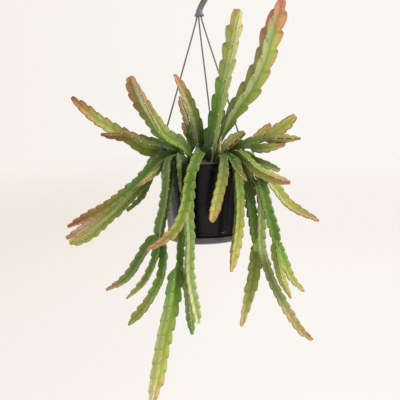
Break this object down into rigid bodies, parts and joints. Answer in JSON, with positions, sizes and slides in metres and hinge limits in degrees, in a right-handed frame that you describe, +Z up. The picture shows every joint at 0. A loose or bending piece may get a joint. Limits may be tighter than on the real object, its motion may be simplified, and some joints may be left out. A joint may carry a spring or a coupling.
{
  "type": "hanging potted cactus",
  "caption": "Hanging pot of a trailing epiphytic cactus with three-winged scalloped stems, on a three-strand plastic hanger with a hook.",
  "frame": {"origin": "Where the hook's crook bears on the rod or eye that it hangs from, at the top of the crook's inside", "axes": "+Z up, +X to the right as seen from the front, +Y from the front to the back"},
  "size_m": [0.4267, 0.2719, 0.6937],
  "materials": {
    "pot_plastic": "gloss",
    "saucer_plastic": "gloss",
    "hanger_plastic": "satin",
    "soil_peat": "matte",
    "stem_young": "satin",
    "stem_leaf": "satin",
    "stem_old": "satin"
  },
  "bodies": {
    "root": {"pot": "pot_plastic", "saucer": "saucer_plastic", "soil": "soil_peat", "hanger_hook": "hanger_plastic", "hanger_strand_left": "hanger_plastic", "hanger_strand_right": "hanger_plastic", "hanger_strand_back": "hanger_plastic", "stem_tall_centre": "stem_leaf", "stem_tall_right": "stem_leaf", "stem_upright_left": "stem_young", "stem_upright_small": "stem_young", "stem_left_high": "stem_leaf", "stem_left_top": "stem_young", "stem_left_level": "stem_leaf", "stem_left_arch": "stem_leaf", "stem_left_low": "stem_leaf", "stem_left_small": "stem_old", "stem_hang_left": "stem_old", "stem_front_arch": "stem_leaf", "stem_front_thin": "stem_old", "stem_hang_front": "stem_old", "stem_hang_middle": "stem_old", "stem_front_short": "stem_leaf", "stem_front_curl": "stem_young", "stem_hang_right": "stem_leaf", "stem_hang_right_back": "stem_old", "stem_trail_right": "stem_old", "stem_forked_right": "stem_old", "stem_right_low": "stem_leaf", "stem_right_level": "stem_leaf", "stem_right_top": "stem_leaf", "stem_right_high": "stem_young", "stem_front_stub": "stem_young", "stem_back_1": "stem_old", "stem_back_2": "stem_leaf", "stem_back_3": "stem_leaf", "stem_back_4": "stem_old", "stem_back_5": "stem_leaf", "stem_back_6": "stem_old", "stem_back_7": "stem_leaf"}
  },
  "joints": []
}
